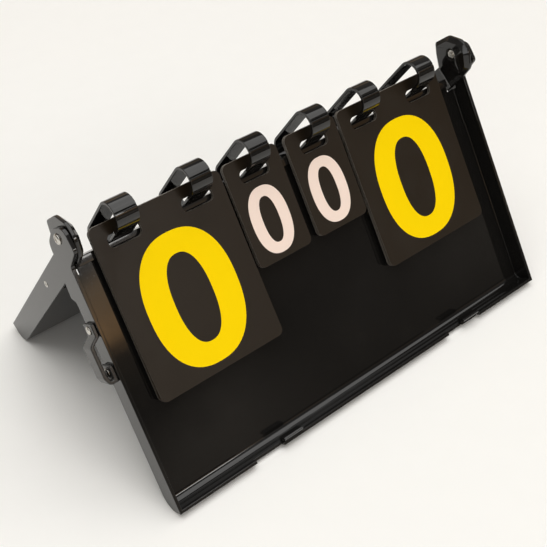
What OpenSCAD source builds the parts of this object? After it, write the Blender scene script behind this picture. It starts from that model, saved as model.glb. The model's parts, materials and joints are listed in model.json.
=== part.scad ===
// Folding table-top flip scoreboard: two hinged trays standing as an A-frame, with four
// decks of number cards hung on six hook rings.
// Millimetres, +Z up, +Y to the back. Origin: on the table, where the rounded lower corner of the
// board touches it, in the middle of the width. The board leans back by "lean", worked out so that
// the rounded corners of board and rear tray both touch the table.

/* [Case] */
// Overall width of the case
case_width = 385; // [330:1:440]
// Bottom edge of the board to the hinge axis, along the board
pivot_height = 212; // [190:1:240]
// Depth of the front board from rim to back
case_depth = 18.5; // [16.5:0.5:24]
// Wall thickness of both trays
wall = 2.5; // [2:0.1:3.5]
// Radius of the rounded outer corner at the far end of both trays
corner_radius = 13; // [8:1:15]
// Radius of the hollow between floor and far wall, inside both trays
inside_fillet = 6; // [3:0.5:9]

/* [Lid] */
// Hinge axis to the far edge of the rear tray
lid_length = 214; // [190:1:240]
// Depth of the rear tray from rim to back
lid_depth = 20; // [18:0.5:24]
// Angle between board and rear tray when the board stands
stand_angle = 70; // [60:1:80]
// Hinge axis to the upper end of the rear tray's floor, clear of the rings
lid_start = 59; // [58:0.5:70]

/* [Hinge] */
// Thickness of the ear plates of the board
ear_thickness = 3; // [2.5:0.1:4]
// Side gap between ear plate and rear tray
ear_gap = 0.4; // [0.3:0.05:0.8]
// Thickness of the hinge lugs of the rear tray
lug_thickness = 5.6; // [5.4:0.1:8]
// Radius of the hinge bolt shank
bolt_radius = 2; // [1.5:0.1:2.5]
// Radial running clearance of bolt in lug
running_clearance = 0.06; // [0.03:0.01:0.1]
// Hinge axis to each rim plane
rim_gap = 0.4; // [0.3:0.05:0.8]

/* [Top rail] */
// Height of the front face of the rail
rail_height = 6.4; // [5:0.2:8]
// Rim plane to the front face of the rail
rail_setback = 13; // [12.8:0.1:14]
// Side gap between rail and hinge lug
rail_end_gap = 1.6; // [1:0.1:3]

/* [Rings] */
// Width of the ring strip
strip_width = 18; // [14:0.5:20]
// Thickness of the ring strip
strip_thickness = 2.4; // [1.8:0.1:2.6]
// Reach of the rings in front of the rim plane
ring_front = 10; // [8:0.5:11]
// Reach of the rings behind the rim plane
ring_back = 50.5; // [44:0.5:51]
// Outer radius of the bends at both ends of the ring
ring_radius = 11.6; // [10:0.1:12]
// Slope of the two straight legs of the ring
ring_slope = 22; // [18:0.5:24]
// Side clearance of the ring strip in its notch in the rail
pocket_clearance = 0.1; // [0.05:0.05:0.3]

/* [Cards] */
// Width of a large card
big_width = 111; // [90:1:115]
// Height of a large card
big_height = 133.5; // [110:0.5:160]
// Width of a small card
small_width = 51; // [44:1:56]
// Height of a small card
small_height = 82.5; // [70:0.5:100]
// Thickness of a card
card_thickness = 0.5; // [0.4:0.05:0.6]
// Spacing of the cards in a deck
card_pitch = 0.95; // [0.9:0.05:1]
// Rim plane to the front face of the first card
card_setback = 8.4; // [8:0.1:9]
// Hinge axis down to the top edge of the cards
card_drop = 4; // [3:0.5:6]
// Middle of the board to the middle of a large card
big_offset = 113.5; // [105:0.5:125]
// Middle of the board to the middle of a small card
small_offset = 29.5; // [28:0.5:34]
// Middle of a large card to each of its two slots
slot_offset = 31; // [22:0.5:36]
// Width of a card slot
slot_width = 27; // [23:0.5:30]
// Height of a card slot
slot_height = 10; // [9.5:0.1:11]
// Card top edge to the top of the slot
slot_drop = 9; // [8:0.1:11]

/* [Digits] */
// Width of a large digit
big_digit_width = 76.5; // [60:0.5:85]
// Height of a large digit
big_digit_height = 102; // [80:1:106]
// Width of a small digit
small_digit_width = 34.5; // [28:0.5:40]
// Height of a small digit
small_digit_height = 53; // [44:0.5:60]
// Thickness of the digit film
digit_thickness = 0.15; // [0.1:0.05:0.2]

/* [Handle] */
// Width of the handle strap
strap_width = 14; // [10:0.5:16]
// Length of the handle strap
strap_length = 44; // [42:1:60]
// How far the strap stands off the side of the case
strap_reach = 9.5; // [9:0.5:14]
// Thickness of the strap
strap_thickness = 3; // [2:0.1:3.2]
// Bottom edge of the board to the middle of the strap
strap_height = 128.5; // [100:0.5:135]

/* [Hidden] */

half = case_width / 2;
black = [0.03, 0.03, 0.03];
steel = [0.72, 0.71, 0.68];
card_black = [0.12, 0.10, 0.09];
yellow = [1.0, 0.84, 0.0];
white = [0.97, 0.88, 0.84];

// hinge
hinge_y = -rim_gap;
rim_height = pivot_height - 20.5;
lid_half = half - ear_thickness - ear_gap;
lug_inner = lid_half - lug_thickness;
head_radius = 2 * bolt_radius;
nut_radius = 1.9 * bolt_radius;
washer_radius = 2.2 * bolt_radius;
nut_height = 1.1 * bolt_radius;
nut_seat = 4.1;
lug_slope = 3.6;

// centres of the rounded corners that stand on the table: the board's, then the rear tray's
foot_y = case_depth - corner_radius;
foot_z = corner_radius;
arc_a = lid_length - corner_radius;
arc_b = rim_gap + lid_depth - corner_radius;
arc_y = hinge_y + arc_a * sin(stand_angle) - arc_b * cos(stand_angle);
arc_z = pivot_height - arc_a * cos(stand_angle) - arc_b * sin(stand_angle);
lean = atan2(arc_z - foot_z, arc_y - foot_y);

// cards and rings
card_top = pivot_height - card_drop;
slot_top = card_top - slot_drop;
slot_low = slot_top - slot_height;
strip_play = 1.2;
ring_y = [ring_radius - ring_front, ring_back - ring_radius];
ring_z = slot_top - strip_play + (card_setback - ring_y[0]) * tan(ring_slope)
  + (ring_radius - strip_thickness) / cos(ring_slope);
rail_top = ring_under(rail_setback);
rail_low = rail_top - rail_height;
rail_half = lug_inner - rail_end_gap;
floor_top = rail_low;
back_flange = 2;

// Height of the outer face of the ring's lower leg, at a distance behind the rim plane.
function ring_under(y) = ring_z - (y - ring_y[0]) * tan(ring_slope) - ring_radius / cos(ring_slope);

ring_at = [-big_offset - slot_offset, -big_offset + slot_offset, -small_offset, small_offset,
  big_offset - slot_offset, big_offset + slot_offset];
rail_screw_at = [-0.75 * rail_half, -0.25 * rail_half, 0.25 * rail_half, 0.75 * rail_half];
screw_radius = 1.5;
strap_foot = 12.5;
strap_holes = [strap_length / 2 - 4.6, strap_foot - 5.1 - strap_length / 2];

// Points of an arc that rounds one corner of an outline.
function corner_arc(a, b, c, r, n) =
  let (u = (a - b) / norm(a - b), v = (c - b) / norm(c - b))
  let (half_angle = acos(u * v) / 2, m = (u + v) / norm(u + v))
  let (centre = b + m * r / sin(half_angle), t1 = b + u * r / tan(half_angle), t2 = b + v * r / tan(half_angle))
  let (a1 = atan2(t1[1] - centre[1], t1[0] - centre[0]), a2 = atan2(t2[1] - centre[1], t2[0] - centre[0]))
  let (d = ((a2 - a1 + 540) % 360) - 180)
  [for (i = [0:n]) centre + r * [cos(a1 + d * i / n), sin(a1 + d * i / n)]];

// Outline with each corner rounded by its own radius, 0 for a sharp corner.
function rounded(p, r, n = 6) = [for (i = [0:len(p) - 1])
  each (r[i] > 0 ? corner_arc(p[(i + len(p) - 1) % len(p)], p[i], p[(i + 1) % len(p)], r[i], n) : [p[i]])];

// Oval with slightly squared shoulders, as printed numerals have.
function oval(w, h, power = 2.35, n = 72) = [for (i = [0:n - 1])
  let (c = cos(360 * i / n), s = sin(360 * i / n))
  [sign(c) * w / 2 * pow(abs(c), 2 / power), sign(s) * h / 2 * pow(abs(s), 2 / power)]];

module stand() {
  translate([0, -foot_y * cos(lean) - foot_z * sin(lean), foot_z + foot_y * sin(lean) - foot_z * cos(lean)])
    rotate([-lean, 0, 0])
      children();
}

// Extrudes an outline drawn in Y and Z along X, from x1 to x2.
module prism(points, x1, x2) {
  translate([x1, 0, 0])
    rotate([90, 0, 90])
      linear_extrude(height = x2 - x1)
        polygon(points);
}

module block(x1, x2, y1, y2, z1, z2) {
  translate([x1, y1, z1])
    cube([x2 - x1, y2 - y1, z2 - z1]);
}

// Round bar along X, from x1 to x2.
module bar(x1, x2, y, z, r, facets = 32) {
  translate([x1, y, z])
    rotate([0, 90, 0])
      cylinder(h = x2 - x1, r = r, $fn = facets);
}

// Puts children drawn in the rear tray's own frame in place. In that frame the tray hangs
// from the hinge axis at the origin, its open side to +Y.
module lid_place() {
  stand()
    translate([0, hinge_y, pivot_height])
      rotate([stand_angle, 0, 0])
        children();
}

// ---- front board ----

ear_outline = rounded(
  [[0, -60], [0, -20.5], [-18, -10.5], [-15, 7], [4, 7.5], [20, -2], [25, -44], [case_depth, -47], [case_depth, -60]],
  [0, 4, 4, 7, 10, 10, 2, 2, 0]);

module board_shell() {
  difference() {
    prism(rounded([[0, 0], [0, rim_height], [case_depth, rim_height], [case_depth, 0]],
      [0, 0, 0, corner_radius], 10), -half, half);
    prism(rounded([[-1, wall], [-1, rim_height + 1], [case_depth - wall, rim_height + 1], [case_depth - wall, wall]],
      [0, 0, 0, inside_fillet], 8), -half + wall, half - wall);
    block(-half + wall, half - wall, -1, case_depth + 1, floor_top, rim_height + 1);
    for (s = [-1, 1])
      block(s < 0 ? -half + wall : rail_half + 0.5, s < 0 ? -rail_half - 0.5 : half - wall,
        -1, case_depth + 1, floor_top - 5, floor_top + 1);
  }
}

module front_board() {
  color(black)
    stand()
      difference() {
        union() {
          board_shell();
          for (s = [-1, 1])
            translate([0, 0, pivot_height])
              prism(ear_outline, s < 0 ? -half : half - ear_thickness, s < 0 ? -half + ear_thickness : half);
        }
        for (s = [-1, 1])
          bar(s * half - ear_thickness - 1, s * half + ear_thickness + 1, hinge_y, pivot_height, bolt_radius + 0.05);
        // recesses in the bottom rim, for a fingertip and the latch of the rear tray
        block(-half + 70, -half + 96, -1, 4.5, -1, wall + 1);
        block(half - 108, half - 70, -1, 4.5, -1, wall + 1);
        // seats of the latch tongues
        latch_seat(-half + 97);
        latch_seat(half - 90);
        // handle and rail screws
        for (z = strap_holes)
          bar(-half - 1, -half + 2, strap_y(), strap_height + z, screw_radius);
        for (x = rail_screw_at)
          translate([x, case_depth + 1, floor_top - 5])
            rotate([90, 0, 0])
              cylinder(h = 3, r = screw_radius, $fn = 24);
      }
}

function strap_y() = case_depth / 2 + 0.3;

module latch_seat(x) {
  block(x, x + 18, 2, 6, -1, wall + 4);
}

module latch(x) {
  color(black)
    stand()
      prism([[-2.4, wall + 2.4], [-1.2, wall + 0.9], [0.4, wall + 1.4], [2, wall + 1.4], [2, 0.6], [6, 0.6],
        [6, wall + 3.4], [-1.2, wall + 3.4]], x, x + 18);
}

module latch_left() {
  latch(-half + 97);
}

module latch_right() {
  latch(half - 90);
}

// ---- top rail ----

module top_rail() {
  color(black)
    stand()
      difference() {
        prism([[rail_setback, rail_low], [rail_setback, rail_top - 0.5], [rail_setback + 0.5, rail_top],
          [case_depth + back_flange, rail_top], [case_depth + back_flange, floor_top - 10],
          [case_depth, floor_top - 10], [case_depth, rail_low]], -rail_half, rail_half);
        // notches that the lower legs of the rings lie in
        for (x = ring_at)
          prism(ring_outline(0), x - strip_width / 2 - pocket_clearance, x + strip_width / 2 + pocket_clearance);
        for (x = rail_screw_at)
          translate([x, case_depth + back_flange + 1, floor_top - 5])
            rotate([90, 0, 0])
              cylinder(h = back_flange + 2, r = screw_radius, $fn = 24);
      }
}

module rail_screw(i) {
  color(steel)
    stand()
      translate([rail_screw_at[i], case_depth + back_flange, floor_top - 5])
        rotate([90, 0, 0]) {
          translate([0, 0, -1.4])
            cylinder(h = 1.4, r1 = 1.8, r2 = 2.8, $fn = 24);
          cylinder(h = back_flange + 1.8, r = screw_radius, $fn = 24);
        }
}

module rail_screw_1() {
  rail_screw(0);
}

module rail_screw_2() {
  rail_screw(1);
}

module rail_screw_3() {
  rail_screw(2);
}

module rail_screw_4() {
  rail_screw(3);
}

// ---- rings ----

// Outline of the ring, two half circles joined by the straight legs, moved in by inset.
function ring_bend(i, start, r) = [for (k = [0:20])
  [ring_y[i], ring_z - (ring_y[i] - ring_y[0]) * tan(ring_slope)]
    + r * [cos(start - ring_slope + 9 * k), sin(start - ring_slope + 9 * k)]];
function ring_outline(inset) = concat(ring_bend(0, 90, ring_radius - inset), ring_bend(1, 270, ring_radius - inset));

module ring(i) {
  color(black)
    stand()
      difference() {
        prism(ring_outline(0), ring_at[i] - strip_width / 2, ring_at[i] + strip_width / 2);
        prism(ring_outline(strip_thickness), ring_at[i] - strip_width, ring_at[i] + strip_width);
        // seam of the opening half
        block(ring_at[i] - strip_width, ring_at[i] + strip_width, -ring_front - 1, -ring_front + 0.6,
          ring_z + 1.6, ring_z + 2.1);
      }
}

module ring_1() {
  ring(0);
}

module ring_2() {
  ring(1);
}

module ring_3() {
  ring(2);
}

module ring_4() {
  ring(3);
}

module ring_5() {
  ring(4);
}

module ring_6() {
  ring(5);
}

// ---- rear tray ----

lid_back = -rim_gap - lid_depth;
lug_points = [[-rim_gap, -22], [11, -16.5], [17.5, -11], [14, 6], [3, 16.5], [-8, 16], [-19, 8]];
lug_radii = [3, 3, 3.5, 7, 9, 9, 9];
lug_outline = rounded(concat(lug_points, [[lid_back, -4], [lid_back, -24], [-rim_gap, -24]]),
  concat(lug_radii, [2, 0, 0]));
side_outline = rounded(concat(lug_points, [[lid_back, -4], [lid_back, -lid_length], [-rim_gap, -lid_length]]),
  concat(lug_radii, [2, corner_radius, 0]));

// Hinge lug, a plate with its edges sloping in towards its inner face.
module lug(s) {
  hull() {
    prism(lug_outline, s < 0 ? -lid_half : lid_half - wall, s < 0 ? wall - lid_half : lid_half);
    translate([s < 0 ? -lug_inner - 0.2 : lug_inner, 0, 0])
      rotate([90, 0, 90])
        linear_extrude(height = 0.2)
          offset(delta = -lug_slope)
            polygon(lug_outline);
  }
}

module lid() {
  color(black)
    lid_place()
      difference() {
        union() {
          difference() {
            prism(side_outline, -lid_half, lid_half);
            prism(rounded([[1, -lid_start + 1], [1, -lid_length + wall], [lid_back + wall, -lid_length + wall],
              [lid_back + wall, -lid_start + 1]], [0, 0, inside_fillet, 0], 8),
              -lid_half + wall, lid_half - wall);
            block(-lid_half + wall, lid_half - wall, lid_back - 1, 30, -lid_start, 30);
          }
          for (s = [-1, 1])
            lug(s);
        }
        for (s = [-1, 1]) {
          bar(s < 0 ? -lid_half - 1 : lug_inner - 1, s < 0 ? -lug_inner + 1 : lid_half + 1, 0, 0,
            bolt_radius + running_clearance);
          bar(s < 0 ? -lug_inner - nut_seat : lug_inner - 1, s < 0 ? -lug_inner + 1 : lug_inner + nut_seat, 0, 0,
            washer_radius + 0.5);
          bar(s < 0 ? -lid_half - 1 : lid_half - 2, s < 0 ? -lid_half + 2 : lid_half + 1, -8, -lid_start - 22,
            screw_radius);
        }
      }
}

module lid_screw(s) {
  color(steel)
    lid_place()
      translate([s * lid_half, -8, -lid_start - 22])
        rotate([0, s * 90, 0]) {
          translate([0, 0, 0])
            cylinder(h = 0.3, r = 2.6, $fn = 24);
          translate([0, 0, -1.9])
            cylinder(h = 2, r = screw_radius, $fn = 24);
        }
}

module lid_screw_left() {
  lid_screw(-1);
}

module lid_screw_right() {
  lid_screw(1);
}

// ---- hinge bolts, washers and nuts ----

module bolt(s) {
  color(steel)
    stand()
      translate([s * half, hinge_y, pivot_height])
        rotate([0, s * 90, 0])
          difference() {
            union() {
              rotate_extrude($fn = 36)
                polygon([[0, 0], [head_radius, 0], [head_radius, 0.7], [0.8 * head_radius, 1.4], [0.5 * head_radius, 1.8], [0, 1.9]]);
              translate([0, 0, -(half - lug_inner + 0.8)])
                cylinder(h = half - lug_inner + 1.4, r = bolt_radius, $fn = 32);
            }
            for (a = [0, 90])
              rotate([0, 0, a])
                translate([-2.1, -0.4, 1.2])
                  cube([4.2, 0.8, 1]);
          }
}

module bolt_left() {
  bolt(-1);
}

module bolt_right() {
  bolt(1);
}

module hinge_disc(s, inner, height, r, facets) {
  translate([s * (lug_inner + inner), hinge_y, pivot_height])
    rotate([0, -s * 90, 0])
      difference() {
        cylinder(h = height, r = r, $fn = facets);
        translate([0, 0, -1])
          cylinder(h = height + 2, r = bolt_radius + 0.05, $fn = 32);
      }
}

module washer(s) {
  color(steel)
    stand()
      hinge_disc(s, nut_seat - 0.1, 0.8, washer_radius, 32);
}

module washer_left() {
  washer(-1);
}

module washer_right() {
  washer(1);
}

module nut(s) {
  color(steel)
    stand()
      hinge_disc(s, nut_seat - 0.95, nut_height, nut_radius, 6);
}

module nut_left() {
  nut(-1);
}

module nut_right() {
  nut(1);
}

// ---- handle ----

module handle() {
  out = -half - strap_reach;
  pad = strap_length / 2;
  inner = out + strap_thickness;
  color(black)
    stand()
      translate([0, strap_y() + strap_width / 2, strap_height])
        rotate([90, 0, 0])
          linear_extrude(height = strap_width)
            difference() {
              polygon(rounded([[-half, pad], [-half, -pad], [out + 2.5, -pad], [out, 6 - pad], [out, pad - 14],
                [-half - strap_thickness, pad - 9], [-half - strap_thickness, pad]],
                [0, 0, 4, 5, 4, 1.5, 1.2], 6));
              // the lower foot is folded back under the strap
              polygon(rounded([[-half, pad - 10], [-half, strap_foot - pad], [-half - strap_thickness, strap_foot - pad],
                [-half - strap_thickness, strap_thickness - pad], [inner + 1.2, strap_thickness - pad],
                [inner, 8 - pad], [inner, pad - 14.5]], [0, 0, 0.8, 0.8, 1.2, 3, 2], 6));
            }
}

// z is the height of the screw above the middle of the strap.
module handle_screw(z) {
  color(steel)
    stand()
      translate([-half - strap_thickness, strap_y(), strap_height + z])
        rotate([0, -90, 0])
          rotate_extrude($fn = 28)
            polygon([[0, 0], [3.2, 0], [3.2, 0.5], [2.2, 1.2], [0, 1.5]]);
}

module handle_screw_upper() {
  handle_screw(strap_holes[0]);
}

module handle_screw_lower() {
  handle_screw(strap_holes[1]);
}

// ---- cards ----

function card_y(i) = card_setback + i * card_pitch;

// One card: outline with rounded corners and one slot for each ring it hangs on.
module card(x, w, h, slots, i) {
  color(card_black)
    stand()
      translate([x, card_y(i) + card_thickness, 0])
        rotate([90, 0, 0])
          linear_extrude(height = card_thickness)
            difference() {
              polygon(rounded([[-w / 2, card_top], [w / 2, card_top], [w / 2, card_top - h], [-w / 2, card_top - h]],
                [5, 5, 5, 5], 8));
              for (s = slots)
                polygon(rounded([[s - slot_width / 2, slot_top], [s + slot_width / 2, slot_top],
                  [s + slot_width / 2, slot_low], [s - slot_width / 2, slot_low]], [4, 4, 4, 4], 6));
            }
}

module big_card(s, i) {
  card(s * big_offset, big_width, big_height, [-slot_offset, slot_offset], i);
}

module small_card(s, i) {
  card(s * small_offset, small_width, small_height, [0], i);
}

module digit(x, z, w, h, counter_w, counter_h) {
  stand()
    translate([x, card_y(0), z])
      rotate([90, 0, 0])
        linear_extrude(height = digit_thickness)
          difference() {
            polygon(oval(w, h));
            polygon(oval(counter_w, counter_h));
          }
}

module big_digit(s) {
  color(yellow)
    digit(s * big_offset - 1, card_top - 76, big_digit_width, big_digit_height,
      0.425 * big_digit_width, 0.675 * big_digit_height);
}

module small_digit(s) {
  color(white)
    digit(s * small_offset - 1.5, card_top - 51.5, small_digit_width, small_digit_height,
      0.435 * small_digit_width, 0.69 * small_digit_height);
}

module big_left_card_1() {
  big_card(-1, 0);
}

module big_left_card_2() {
  big_card(-1, 1);
}

module big_left_card_3() {
  big_card(-1, 2);
}

module big_left_card_4() {
  big_card(-1, 3);
}

module small_left_card_1() {
  small_card(-1, 0);
}

module small_left_card_2() {
  small_card(-1, 1);
}

module small_left_card_3() {
  small_card(-1, 2);
}

module small_left_card_4() {
  small_card(-1, 3);
}

module small_right_card_1() {
  small_card(1, 0);
}

module small_right_card_2() {
  small_card(1, 1);
}

module small_right_card_3() {
  small_card(1, 2);
}

module small_right_card_4() {
  small_card(1, 3);
}

module big_right_card_1() {
  big_card(1, 0);
}

module big_right_card_2() {
  big_card(1, 1);
}

module big_right_card_3() {
  big_card(1, 2);
}

module big_right_card_4() {
  big_card(1, 3);
}

module digit_big_left() {
  big_digit(-1);
}

module digit_small_left() {
  small_digit(-1);
}

module digit_small_right() {
  small_digit(1);
}

module digit_big_right() {
  big_digit(1);
}

front_board();
top_rail();
lid();
bolt_left();
bolt_right();
washer_left();
washer_right();
nut_left();
nut_right();
ring_1();
ring_2();
ring_3();
ring_4();
ring_5();
ring_6();
rail_screw_1();
rail_screw_2();
rail_screw_3();
rail_screw_4();
handle();
handle_screw_upper();
handle_screw_lower();
lid_screw_left();
lid_screw_right();
latch_left();
latch_right();
big_left_card_1();
big_left_card_2();
big_left_card_3();
big_left_card_4();
small_left_card_1();
small_left_card_2();
small_left_card_3();
small_left_card_4();
small_right_card_1();
small_right_card_2();
small_right_card_3();
small_right_card_4();
big_right_card_1();
big_right_card_2();
big_right_card_3();
big_right_card_4();
digit_big_left();
digit_small_left();
digit_small_right();
digit_big_right();
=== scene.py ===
import json
import math

import bmesh
import bpy
from mathutils import Matrix, Vector


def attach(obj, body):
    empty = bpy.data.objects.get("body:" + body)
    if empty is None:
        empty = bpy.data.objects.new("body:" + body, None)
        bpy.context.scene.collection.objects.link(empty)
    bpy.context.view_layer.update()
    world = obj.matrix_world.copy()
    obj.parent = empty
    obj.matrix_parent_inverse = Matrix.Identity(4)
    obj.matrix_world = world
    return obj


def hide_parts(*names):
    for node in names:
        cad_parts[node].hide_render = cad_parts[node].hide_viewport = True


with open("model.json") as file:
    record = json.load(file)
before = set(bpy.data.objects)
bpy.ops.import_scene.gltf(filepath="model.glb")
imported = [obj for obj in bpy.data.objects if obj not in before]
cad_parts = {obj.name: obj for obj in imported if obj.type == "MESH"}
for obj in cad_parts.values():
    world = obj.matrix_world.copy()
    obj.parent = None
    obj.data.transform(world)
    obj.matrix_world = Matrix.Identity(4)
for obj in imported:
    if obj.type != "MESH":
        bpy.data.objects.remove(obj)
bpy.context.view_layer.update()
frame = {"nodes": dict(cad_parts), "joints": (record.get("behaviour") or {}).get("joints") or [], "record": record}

# The board's own frame: millimetres, X right, Y into the board, Z up along it, from its lower rim.
# The end wall of the rear tray gives the slope of both halves.
stand = {"open": math.radians(70), "hingeY": -0.4, "hingeZ": 212}
trayEnd = Vector(next(m for m in frame["record"]["mounts"] if m["name"] == "rear_tray_end")["axis"])
hingePos = Vector(next(j for j in frame["joints"] if j["name"] == "lid_hinge")["pos_m"]) * 1000
lean = stand["open"] - math.atan2(trayEnd.y, -trayEnd.z)
turnBoard = Matrix.Rotation(-lean, 4, "X")
shift = hingePos - turnBoard @ Vector((0, stand["hingeY"], stand["hingeZ"]))
toBoard = Matrix.Scale(0.001, 4) @ Matrix.Translation(shift) @ turnBoard
print("frame loaded, board leans back", round(math.degrees(lean), 2))


def newGroup(name, inputs, outputs):
    group = bpy.data.node_groups.new(name, "ShaderNodeTree")
    for label, value in inputs.items():
        socket = group.interface.new_socket(label, in_out="INPUT", socket_type="NodeSocketFloat")
        socket.default_value = value
    for label in outputs:
        group.interface.new_socket(label, in_out="OUTPUT", socket_type="NodeSocketFloat")
    return group, group.nodes.new("NodeGroupInput"), group.nodes.new("NodeGroupOutput")


def node(tree, kind, inputs=None, **settings):
    made = tree.nodes.new(kind)
    for key, value in settings.items():
        setattr(made, key, value)
    for key, value in (inputs or {}).items():
        if isinstance(value, bpy.types.NodeSocket):
            tree.links.new(value, made.inputs[key])
        else:
            made.inputs[key].default_value = value
    return made


def mathNode(tree, operation, a, b=None, c=None, clamp=False):
    made = tree.nodes.new("ShaderNodeMath")
    made.operation = operation
    made.use_clamp = clamp
    for i, value in enumerate((a, b, c)):
        if value is None:
            continue
        if isinstance(value, bpy.types.NodeSocket):
            tree.links.new(value, made.inputs[i])
        else:
            made.inputs[i].default_value = value
    return made.outputs[0]


def ramp(tree, value, stops, interpolation="EASE"):
    made = tree.nodes.new("ShaderNodeValToRGB")
    made.color_ramp.interpolation = interpolation
    while len(made.color_ramp.elements) < len(stops):
        made.color_ramp.elements.new(0.5)
    for element, (place, colour) in zip(made.color_ramp.elements, stops):
        element.position = place
        element.color = (*colour, 1)
    tree.links.new(value, made.inputs[0])
    return made.outputs[0]


def handledSurface():
    # smears from fingers, hair scratches and fine dust, in object metres
    group, given, result = newGroup(
        "handledSurface",
        {"Smear Size": 28, "Scratch Size": 900, "Dust Size": 2600, "Dust Amount": 0.3},
        ("Smear", "Scratch", "Dust"))
    place = node(group, "ShaderNodeTexCoord").outputs["Object"]
    cloud = node(group, "ShaderNodeTexNoise", {"Vector": place, "Scale": given.outputs["Smear Size"],
                                               "Detail": 4.0, "Roughness": 0.55, "Distortion": 0.6})
    smear = ramp(group, cloud.outputs["Fac"], [(0.42, (0, 0, 0)), (0.68, (1, 1, 1))])
    drawn = node(group, "ShaderNodeMapping", {"Vector": place, "Rotation": (0.4, 0.9, 0.3),
                                              "Scale": (1, 0.03, 1)})
    hair = node(group, "ShaderNodeTexNoise", {"Vector": drawn.outputs[0], "Detail": 2.0, "Roughness": 0.6,
                                              "Scale": given.outputs["Scratch Size"]})
    scratch = ramp(group, hair.outputs["Fac"], [(0.66, (0, 0, 0)), (0.7, (1, 1, 1))])
    speck = node(group, "ShaderNodeTexVoronoi", {"Vector": place, "Scale": given.outputs["Dust Size"]},
                 feature="F1")
    dot = mathNode(group, "LESS_THAN", speck.outputs["Distance"], 0.16)
    patch = node(group, "ShaderNodeTexNoise", {"Vector": place, "Scale": 60.0, "Detail": 3.0})
    spread = ramp(group, patch.outputs["Fac"], [(0.5, (0, 0, 0)), (0.75, (1, 1, 1))])
    dust = mathNode(group, "MULTIPLY", mathNode(group, "MULTIPLY", dot, spread), given.outputs["Dust Amount"])
    group.links.new(smear, result.inputs["Smear"])
    group.links.new(scratch, result.inputs["Scratch"])
    group.links.new(dust, result.inputs["Dust"])
    return group


handled = handledSurface()


def newMaterial(name):
    made = bpy.data.materials.new(name)
    made.use_nodes = True
    tree = made.node_tree
    tree.nodes.clear()
    shader = tree.nodes.new("ShaderNodeBsdfPrincipled")
    output = tree.nodes.new("ShaderNodeOutputMaterial")
    tree.links.new(shader.outputs[0], output.inputs["Surface"])
    return made, tree, shader


def mixColour(tree, amount, a, b):
    made = tree.nodes.new("ShaderNodeMix")
    made.data_type = "RGBA"
    for index, value in ((0, amount), (6, a), (7, b)):
        if isinstance(value, bpy.types.NodeSocket):
            tree.links.new(value, made.inputs[index])
        else:
            made.inputs[index].default_value = value if index == 0 else (*value, 1)
    return made.outputs[2]


def bumpFrom(tree, shader, height, strength, distance):
    bump = node(tree, "ShaderNodeBump", {"Height": height, "Strength": strength, "Distance": distance})
    tree.links.new(bump.outputs[0], shader.inputs["Normal"])


def mouldedPlastic(name, colour, dusty, rough, smearRough, orangePeel):
    # glossy moulding: smears, scratches and dust over a faint orange peel
    made, tree, shader = newMaterial(name)
    marks = node(tree, "ShaderNodeGroup", node_tree=handled)
    marks.inputs["Smear Size"].default_value = 22
    marks.inputs["Dust Amount"].default_value = 0.5
    dustColour = mixColour(tree, marks.outputs["Dust"], colour, dusty)
    tree.links.new(dustColour, shader.inputs["Base Color"])
    level = mathNode(tree, "MULTIPLY_ADD", marks.outputs["Smear"], smearRough, rough)
    level = mathNode(tree, "MULTIPLY_ADD", marks.outputs["Scratch"], 0.12, level)
    level = mathNode(tree, "MULTIPLY_ADD", marks.outputs["Dust"], 0.4, level, clamp=True)
    tree.links.new(level, shader.inputs["Roughness"])
    shader.inputs["IOR"].default_value = 1.52
    place = node(tree, "ShaderNodeTexCoord").outputs["Object"]
    wave = node(tree, "ShaderNodeTexNoise", {"Vector": place, "Scale": 35.0, "Detail": 1.0})
    fine = node(tree, "ShaderNodeTexNoise", {"Vector": place, "Scale": 1400.0, "Detail": 2.0})
    height = mathNode(tree, "MULTIPLY_ADD", fine.outputs["Fac"], 0.02, wave.outputs["Fac"])
    bumpFrom(tree, shader, height, orangePeel, 0.0004)
    return made


glossBlack = mouldedPlastic("glossBlack", (0.007, 0.0065, 0.006), (0.10, 0.095, 0.09), 0.035, 0.05, 0.1)
strapBlack = mouldedPlastic("strapBlack", (0.016, 0.015, 0.014), (0.14, 0.13, 0.12), 0.24, 0.12, 0.4)


def printedSheet(name, colour, speckle, rough, gloss):
    # satin film: fine grain, faint blotches of gloss, a few specks
    made, tree, shader = newMaterial(name)
    marks = node(tree, "ShaderNodeGroup", node_tree=handled)
    marks.inputs["Smear Size"].default_value = 40
    marks.inputs["Dust Amount"].default_value = 0.35
    tree.links.new(mixColour(tree, marks.outputs["Dust"], colour, speckle), shader.inputs["Base Color"])
    shader.inputs["Specular IOR Level"].default_value = gloss
    level = mathNode(tree, "MULTIPLY_ADD", marks.outputs["Smear"], 0.08, rough)
    level = mathNode(tree, "MULTIPLY_ADD", marks.outputs["Scratch"], 0.06, level, clamp=True)
    tree.links.new(level, shader.inputs["Roughness"])
    place = node(tree, "ShaderNodeTexCoord").outputs["Object"]
    grain = node(tree, "ShaderNodeTexNoise", {"Vector": place, "Scale": 2600.0, "Detail": 2.0})
    bumpFrom(tree, shader, grain.outputs["Fac"], 0.12, 0.0002)
    return made


cardBlack = printedSheet("cardBlack", (0.016, 0.0105, 0.0055), (0.08, 0.07, 0.06), 0.4, 0.24)
# the card's sides are much lighter than its face: a painted highlight along the card edges
cardEdgePaintedHighlight = printedSheet("cardEdgePaintedHighlight", (0.20, 0.18, 0.155), (0.24, 0.22, 0.2), 0.35, 0.5)
printYellow = printedSheet("printYellow", (1.0, 0.70, 0.0), (0.85, 0.6, 0.02), 0.5, 0.05)
printWhite = printedSheet("printWhite", (0.93, 0.77, 0.68), (0.75, 0.63, 0.55), 0.5, 0.1)


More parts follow.
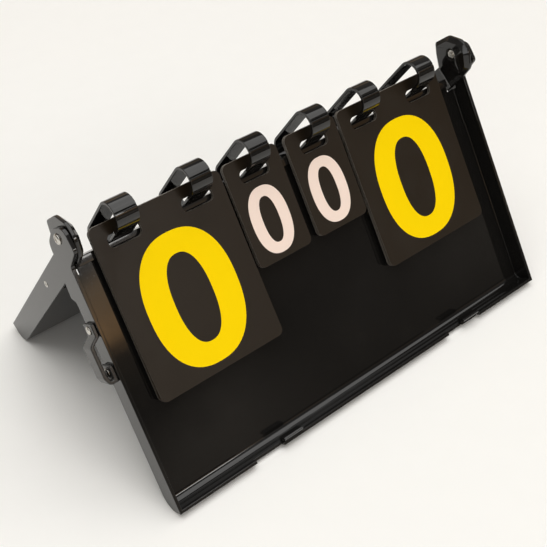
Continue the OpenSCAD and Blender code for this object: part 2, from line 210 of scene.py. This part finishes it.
def platedSteel():
    made, tree, shader = newMaterial("platedSteel")
    marks = node(tree, "ShaderNodeGroup", node_tree=handled)
    marks.inputs["Smear Size"].default_value = 300
    tree.links.new(mixColour(tree, marks.outputs["Smear"], (0.62, 0.60, 0.56), (0.42, 0.40, 0.36)),
                   shader.inputs["Base Color"])
    shader.inputs["Metallic"].default_value = 1
    level = mathNode(tree, "MULTIPLY_ADD", marks.outputs["Scratch"], 0.2, 0.24, clamp=True)
    tree.links.new(level, shader.inputs["Roughness"])
    return made


steel = platedSteel()
print("materials ready")

pieceBuild = {"sharpAngle": 32, "mergeWithin": 2e-6, "flatWithin": 0.6}  # degrees, metres, degrees


def finishPiece(bm, name, body, materials, replaced):
    # the piece stands for the named solids of the frame and moves with its body
    mesh = bpy.data.meshes.new(name)
    bm.to_mesh(mesh)
    bm.free()
    piece = bpy.data.objects.new(name, mesh)
    bpy.context.scene.collection.objects.link(piece)
    for material in materials:
        mesh.materials.append(material)
    for face in mesh.polygons:
        face.use_smooth = True
    mesh.set_sharp_from_angle(angle=math.radians(pieceBuild["sharpAngle"]))
    even = piece.modifiers.new("evenNormals", "WEIGHTED_NORMAL")
    even.keep_sharp = True
    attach(piece, body)
    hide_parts(*replaced)


def fromCad(nodeName):
    # a merged copy of the moulded shape, its flat faces made whole again
    bm = bmesh.new()
    bm.from_mesh(frame["nodes"][nodeName].data)
    bmesh.ops.remove_doubles(bm, verts=bm.verts, dist=pieceBuild["mergeWithin"])
    bmesh.ops.dissolve_limit(bm, angle_limit=math.radians(pieceBuild["flatWithin"]), verts=bm.verts,
                             edges=bm.edges)
    bmesh.ops.recalc_face_normals(bm, faces=bm.faces)
    return bm


def softenEdges(bm, width, segments, sharper=35):
    edges = [e for e in bm.edges if len(e.link_faces) == 2 and e.calc_face_angle(0) > math.radians(sharper)]
    bmesh.ops.bevel(bm, geom=edges, offset=width, offset_type="OFFSET", affect="EDGES", segments=segments,
                    profile=0.5, material=-1, clamp_overlap=False)


mouldings = {
    "front_board": {"piece": "frontTray", "body": "board", "edge": 0.00045, "segments": 3},
    "lid": {"piece": "rearTray", "body": "rear_tray", "edge": 0.00045, "segments": 3},
    "top_rail": {"piece": "topRail", "body": "board", "edge": 0.00035, "segments": 3},
    "handle": {"piece": "handleStrap", "body": "board", "edge": 0.0009, "segments": 4},
    "latch_left": {"piece": "latchLeft", "body": "board", "edge": 0.00025, "segments": 2},
    "latch_right": {"piece": "latchRight", "body": "board", "edge": 0.00025, "segments": 2},
}
mouldings.update({f"ring_{i}": {"piece": f"hookRing{i}", "body": "board", "edge": 0.0005, "segments": 3}
                  for i in range(1, 7)})

for nodeName, made in mouldings.items():
    bm = fromCad(nodeName)
    softenEdges(bm, made["edge"], made["segments"])
    finish = strapBlack if nodeName == "handle" else glossBlack
    finishPiece(bm, made["piece"], made["body"], [finish], [nodeName])
print("mouldings ready")

# Which way each head faces, and its cross: half the slot's width, its reach and its depth, in metres.
toRight, toBack = Vector((1, 0, 0)), turnBoard.to_3x3() @ Vector((0, 1, 0))
boltCross = {"halfSlot": 0.00045, "reach": 0.0021, "depth": 0.0009}
strapCross = {"halfSlot": 0.0004, "reach": 0.0017, "depth": 0.0007}
sideCross = {"halfSlot": 0.00035, "reach": 0.0014, "depth": 0.0006}
railCross = {"halfSlot": 0.0004, "reach": 0.0016, "depth": 0.0007}
hardware = {
    "bolt_left": {"piece": "hingeBoltLeft", "out": -toRight, "cross": boltCross},
    "bolt_right": {"piece": "hingeBoltRight", "out": toRight, "cross": boltCross},
    "washer_left": {"piece": "hingeWasherLeft"},
    "washer_right": {"piece": "hingeWasherRight"},
    "nut_left": {"piece": "hingeNutLeft"},
    "nut_right": {"piece": "hingeNutRight"},
    "handle_screw_upper": {"piece": "handleScrewUpper", "out": -toRight, "cross": strapCross},
    "handle_screw_lower": {"piece": "handleScrewLower", "out": -toRight, "cross": strapCross},
    "lid_screw_left": {"piece": "traySideScrewLeft", "out": -toRight, "cross": sideCross},
    "lid_screw_right": {"piece": "traySideScrewRight", "out": toRight, "cross": sideCross},
}
hardware.update({f"rail_screw_{i}": {"piece": f"railScrew{i}", "out": toBack, "cross": railCross}
                 for i in range(1, 5)})
headBuild = {"edge": 0.00015, "segments": 2, "taper": 0.72, "facing": 0.99, "levelWithin": 2e-5}


def crossRecess(bm, out, halfSlot, reach, depth):
    # a cross pressed into the flat end of a screw head, narrower at its bottom
    facing = [f for f in bm.faces if f.normal.dot(out) > headBuild["facing"]]
    top = max(facing, key=lambda f: f.calc_center_median().dot(out) + f.calc_area())
    centre = top.calc_center_median()
    level = centre.dot(out)
    across = out.orthogonal().normalized()
    along = out.cross(across)

    def endFaces():
        ends = [f for f in bm.faces if f.normal.dot(out) > headBuild["facing"]]
        return [f for f in ends if abs(f.calc_center_median().dot(out) - level) < headBuild["levelWithin"]]

    for direction in (across, along):
        for offset in (-reach, -halfSlot, halfSlot, reach):
            faces = endFaces()
            parts = set(faces)
            for face in faces:
                parts.update(face.edges)
                parts.update(face.verts)
            bmesh.ops.bisect_plane(bm, geom=list(parts), plane_co=centre + direction * offset,
                                   plane_no=direction)
    pressed = []
    for face in endFaces():
        away = face.calc_center_median() - centre
        a, b = abs(away.dot(across)), abs(away.dot(along))
        if min(a, b) < halfSlot and max(a, b) < reach:
            pressed.append(face)
    sunk = bmesh.ops.extrude_face_region(bm, geom=pressed)
    bmesh.ops.delete(bm, geom=pressed, context="FACES")
    moved = [v for v in sunk["geom"] if isinstance(v, bmesh.types.BMVert)]
    taper = headBuild["taper"]
    bmesh.ops.translate(bm, verts=moved, vec=-out * depth)
    bmesh.ops.scale(bm, verts=moved, vec=(taper, taper, taper), space=Matrix.Translation(-centre))
    bmesh.ops.translate(bm, verts=moved, vec=-out * depth * (1 - taper))
    bmesh.ops.recalc_face_normals(bm, faces=bm.faces)


for nodeName, made in hardware.items():
    bm = fromCad(nodeName)
    softenEdges(bm, headBuild["edge"], headBuild["segments"])
    if "cross" in made:
        crossRecess(bm, made["out"], **made["cross"])
    body = "rear_tray" if nodeName.startswith("lid") else "board"
    finishPiece(bm, made["piece"], body, [steel], [nodeName])
print("hardware ready")

# bow is how far the free end of a front card stands off, in millimetres
decks = {
    "big_left": {"name": "BigLeft", "bow": 2.2, "print": printYellow, "slot": "yellow_print"},
    "small_left": {"name": "SmallLeft", "bow": 0.6, "print": printWhite, "slot": "white_print"},
    "small_right": {"name": "SmallRight", "bow": 0.5, "print": printWhite, "slot": "white_print"},
    "big_right": {"name": "BigRight", "bow": 1.0, "print": printYellow, "slot": "yellow_print"},
}
cardBuild = {"cards": 4, "edge": 0.12, "segments": 2, "sharper": 60, "flatTop": 22, "cutTop": 24,
             "cardCuts": 12, "numeralCuts": 24}


def heightRange(bm):
    heights = [v.co.z for v in bm.verts]
    return min(heights), max(heights)


def cutAcross(bm, low, high, cuts):
    # level cuts, so that the sheet can bend
    for step in range(1, cuts):
        bmesh.ops.bisect_plane(bm, geom=bm.verts[:] + bm.edges[:] + bm.faces[:],
                               plane_co=(0, 0, low + (high - low) * step / cuts), plane_no=(0, 0, 1))


def bendCard(bm, bow, low, top):
    # a card hangs flat from its slots and bows away from the tray towards its free end
    flatEnd = top - cardBuild["flatTop"]
    for vertex in bm.verts:
        down = max(0, (flatEnd - vertex.co.z) / (flatEnd - low))
        vertex.co.y -= bow * down * down


for deckName, deck in decks.items():
    for i in range(1, cardBuild["cards"] + 1):
        nodeName = f"{deckName}_card_{i}"
        bm = fromCad(nodeName)
        bm.transform(toBoard.inverted())
        low, top = heightRange(bm)
        cutAcross(bm, low, top - cardBuild["cutTop"], cardBuild["cardCuts"])
        softenEdges(bm, cardBuild["edge"], cardBuild["segments"], cardBuild["sharper"])
        if i == 1:
            bendCard(bm, deck["bow"], low, top)
        for face in bm.faces:
            # faces facing along the board take the card face colour; the sides take the lighter painted edge
            # highlight
            face.material_index = 0 if abs(face.normal.y) > 0.5 else 1
        bm.transform(toBoard)
        body = f"{deckName}_front_card" if i == 1 else "board"
        finishPiece(bm, f"card{deck['name']}{i}", body, [cardBlack, cardEdgePaintedHighlight], [nodeName])
    nodeName = f"digit_{deckName}"
    bm = fromCad(nodeName)
    bm.transform(toBoard.inverted())
    cutAcross(bm, *heightRange(bm), cardBuild["numeralCuts"])
    bendCard(bm, deck["bow"], low, top)
    bm.transform(toBoard)
    finishPiece(bm, f"numeral{deck['name']}", f"{deckName}_front_card", [deck["print"]], [nodeName])
print("cards ready")

floorBuild = {"halfSize": 2.2, "below": 0.0002}


def paleFloor():
    made, tree, shader = newMaterial("paleFloor")
    place = node(tree, "ShaderNodeTexCoord").outputs["Object"]
    grain = node(tree, "ShaderNodeTexNoise", {"Vector": place, "Scale": 40.0, "Detail": 3.0})
    tree.links.new(mixColour(tree, grain.outputs["Fac"], (0.93, 0.93, 0.91), (0.95, 0.95, 0.93)),
                   shader.inputs["Base Color"])
    shader.inputs["Roughness"].default_value = 0.75
    return made


bm = bmesh.new()
bmesh.ops.create_grid(bm, x_segments=4, y_segments=4, size=floorBuild["halfSize"])
mesh = bpy.data.meshes.new("floor")
bm.to_mesh(mesh)
bm.free()
floor = bpy.data.objects.new("floor", mesh)
floor.location.z = -floorBuild["below"]
bpy.context.scene.collection.objects.link(floor)
mesh.materials.append(paleFloor())

roomLights = {
    "ceilingLight": {"at": (0.2, 0.2, 3.0), "aim": (0, 0.1, 0), "size": (4.0, 4.0), "power": 84,
                     "colour": (1, 0.99, 0.97)},
    "windowLight": {"at": (-2.4, -1.4, 1.5), "aim": (0, 0.1, 0.1), "size": (1.2, 1.4), "power": 9,
                    "colour": (0.98, 0.99, 1)},
    "frontLight": {"at": (0.6, -2.6, 1.7), "aim": (0, 0.1, 0.1), "size": (1.0, 0.5), "power": 12,
                   "colour": (1, 0.98, 0.95)},
}
for name, made in roomLights.items():
    light = bpy.data.lights.new(name, "AREA")
    light.shape = "RECTANGLE"
    light.size, light.size_y = made["size"]
    light.energy = made["power"]
    light.color = made["colour"]
    lamp = bpy.data.objects.new(name, light)
    lamp.location = made["at"]
    lamp.rotation_euler = (Vector(made["aim"]) - Vector(made["at"])).to_track_quat("-Z", "Y").to_euler()
    bpy.context.scene.collection.objects.link(lamp)

# What the gloss mirrors, by height from the horizon (0) to straight overhead (1).
room = {
    "height": [(0.0, (0.25, 0.22, 0.18)), (0.15, (0.60, 0.52, 0.44)), (0.20, (0.50, 0.44, 0.37)),
               (0.25, (0.16, 0.14, 0.12)), (0.315, (0.24, 0.19, 0.14)), (0.335, (2.7, 1.60, 0.75)),
               (0.375, (2.1, 1.50, 0.95)), (0.395, (0.9, 0.84, 0.78)), (0.45, (0.40, 0.36, 0.32)),
               (0.75, (0.42, 0.42, 0.42)), (1.0, (0.8, 0.79, 0.77))],
    "rightCorner": (0.09, 0.08, 0.07),
    "leftWall": (0.30, 0.29, 0.27),
    "backdrop": (0.94, 0.93, 0.90, 1),
}


def roomAround():
    world = bpy.data.worlds.new("room")
    world.use_nodes = True
    tree = world.node_tree
    tree.nodes.clear()
    direct = node(tree, "ShaderNodeLightPath")
    direction = node(tree, "ShaderNodeTexCoord").outputs["Generated"]
    way = node(tree, "ShaderNodeSeparateXYZ", {0: direction})
    lowToHigh = ramp(tree, way.outputs["Z"], room["height"], "LINEAR")
    things = node(tree, "ShaderNodeTexNoise", {"Vector": direction, "Scale": 5.0, "Detail": 3.0})
    patchy = ramp(tree, things.outputs["Fac"], [(0.35, (0.45, 0.45, 0.45)), (0.65, (1, 1, 1))])
    leftward = mathNode(tree, "MULTIPLY", way.outputs["X"], -1)
    leftSide = ramp(tree, leftward, [(0.2, (0, 0, 0)), (0.8, (1, 1, 1))])
    dimCorner = ramp(tree, way.outputs["X"], [(0.38, (0, 0, 0)), (0.50, (0.72, 0.72, 0.72)),
                                              (0.9, (0.2, 0.2, 0.2))])
    aroundRoom = mixColour(tree, dimCorner, lowToHigh, room["rightCorner"])
    aroundRoom = mixColour(tree, leftSide, aroundRoom, room["leftWall"])
    seen = node(tree, "ShaderNodeBackground", {"Color": room["backdrop"], "Strength": 1.0})
    dim = node(tree, "ShaderNodeBackground", {"Color": aroundRoom, "Strength": patchy})
    blend = node(tree, "ShaderNodeMixShader", {0: direct.outputs["Is Camera Ray"]})
    tree.links.new(dim.outputs[0], blend.inputs[1])
    tree.links.new(seen.outputs[0], blend.inputs[2])
    output = node(tree, "ShaderNodeOutputWorld")
    tree.links.new(blend.outputs[0], output.inputs["Surface"])
    return world


bpy.context.scene.world = roomAround()
bpy.context.scene.view_settings.view_transform = "Standard"

view = {"at": (-0.4081, -0.3632, 0.5998), "target": (-0.0514, 0.0562, 0.1053), "roll": math.radians(0.54),
        "lens": 65.7}
cameraData = bpy.data.cameras.new("viewCamera")
cameraData.lens = view["lens"]
cameraData.sensor_width = 36
camera = bpy.data.objects.new("viewCamera", cameraData)
camera.location = view["at"]
look = (Vector(view["target"]) - Vector(view["at"])).to_track_quat("-Z", "Y").to_matrix().to_4x4()
camera.rotation_euler = (look @ Matrix.Rotation(view["roll"], 4, "Z")).to_euler()
bpy.context.scene.collection.objects.link(camera)
bpy.context.scene.camera = camera

print("scene ready")
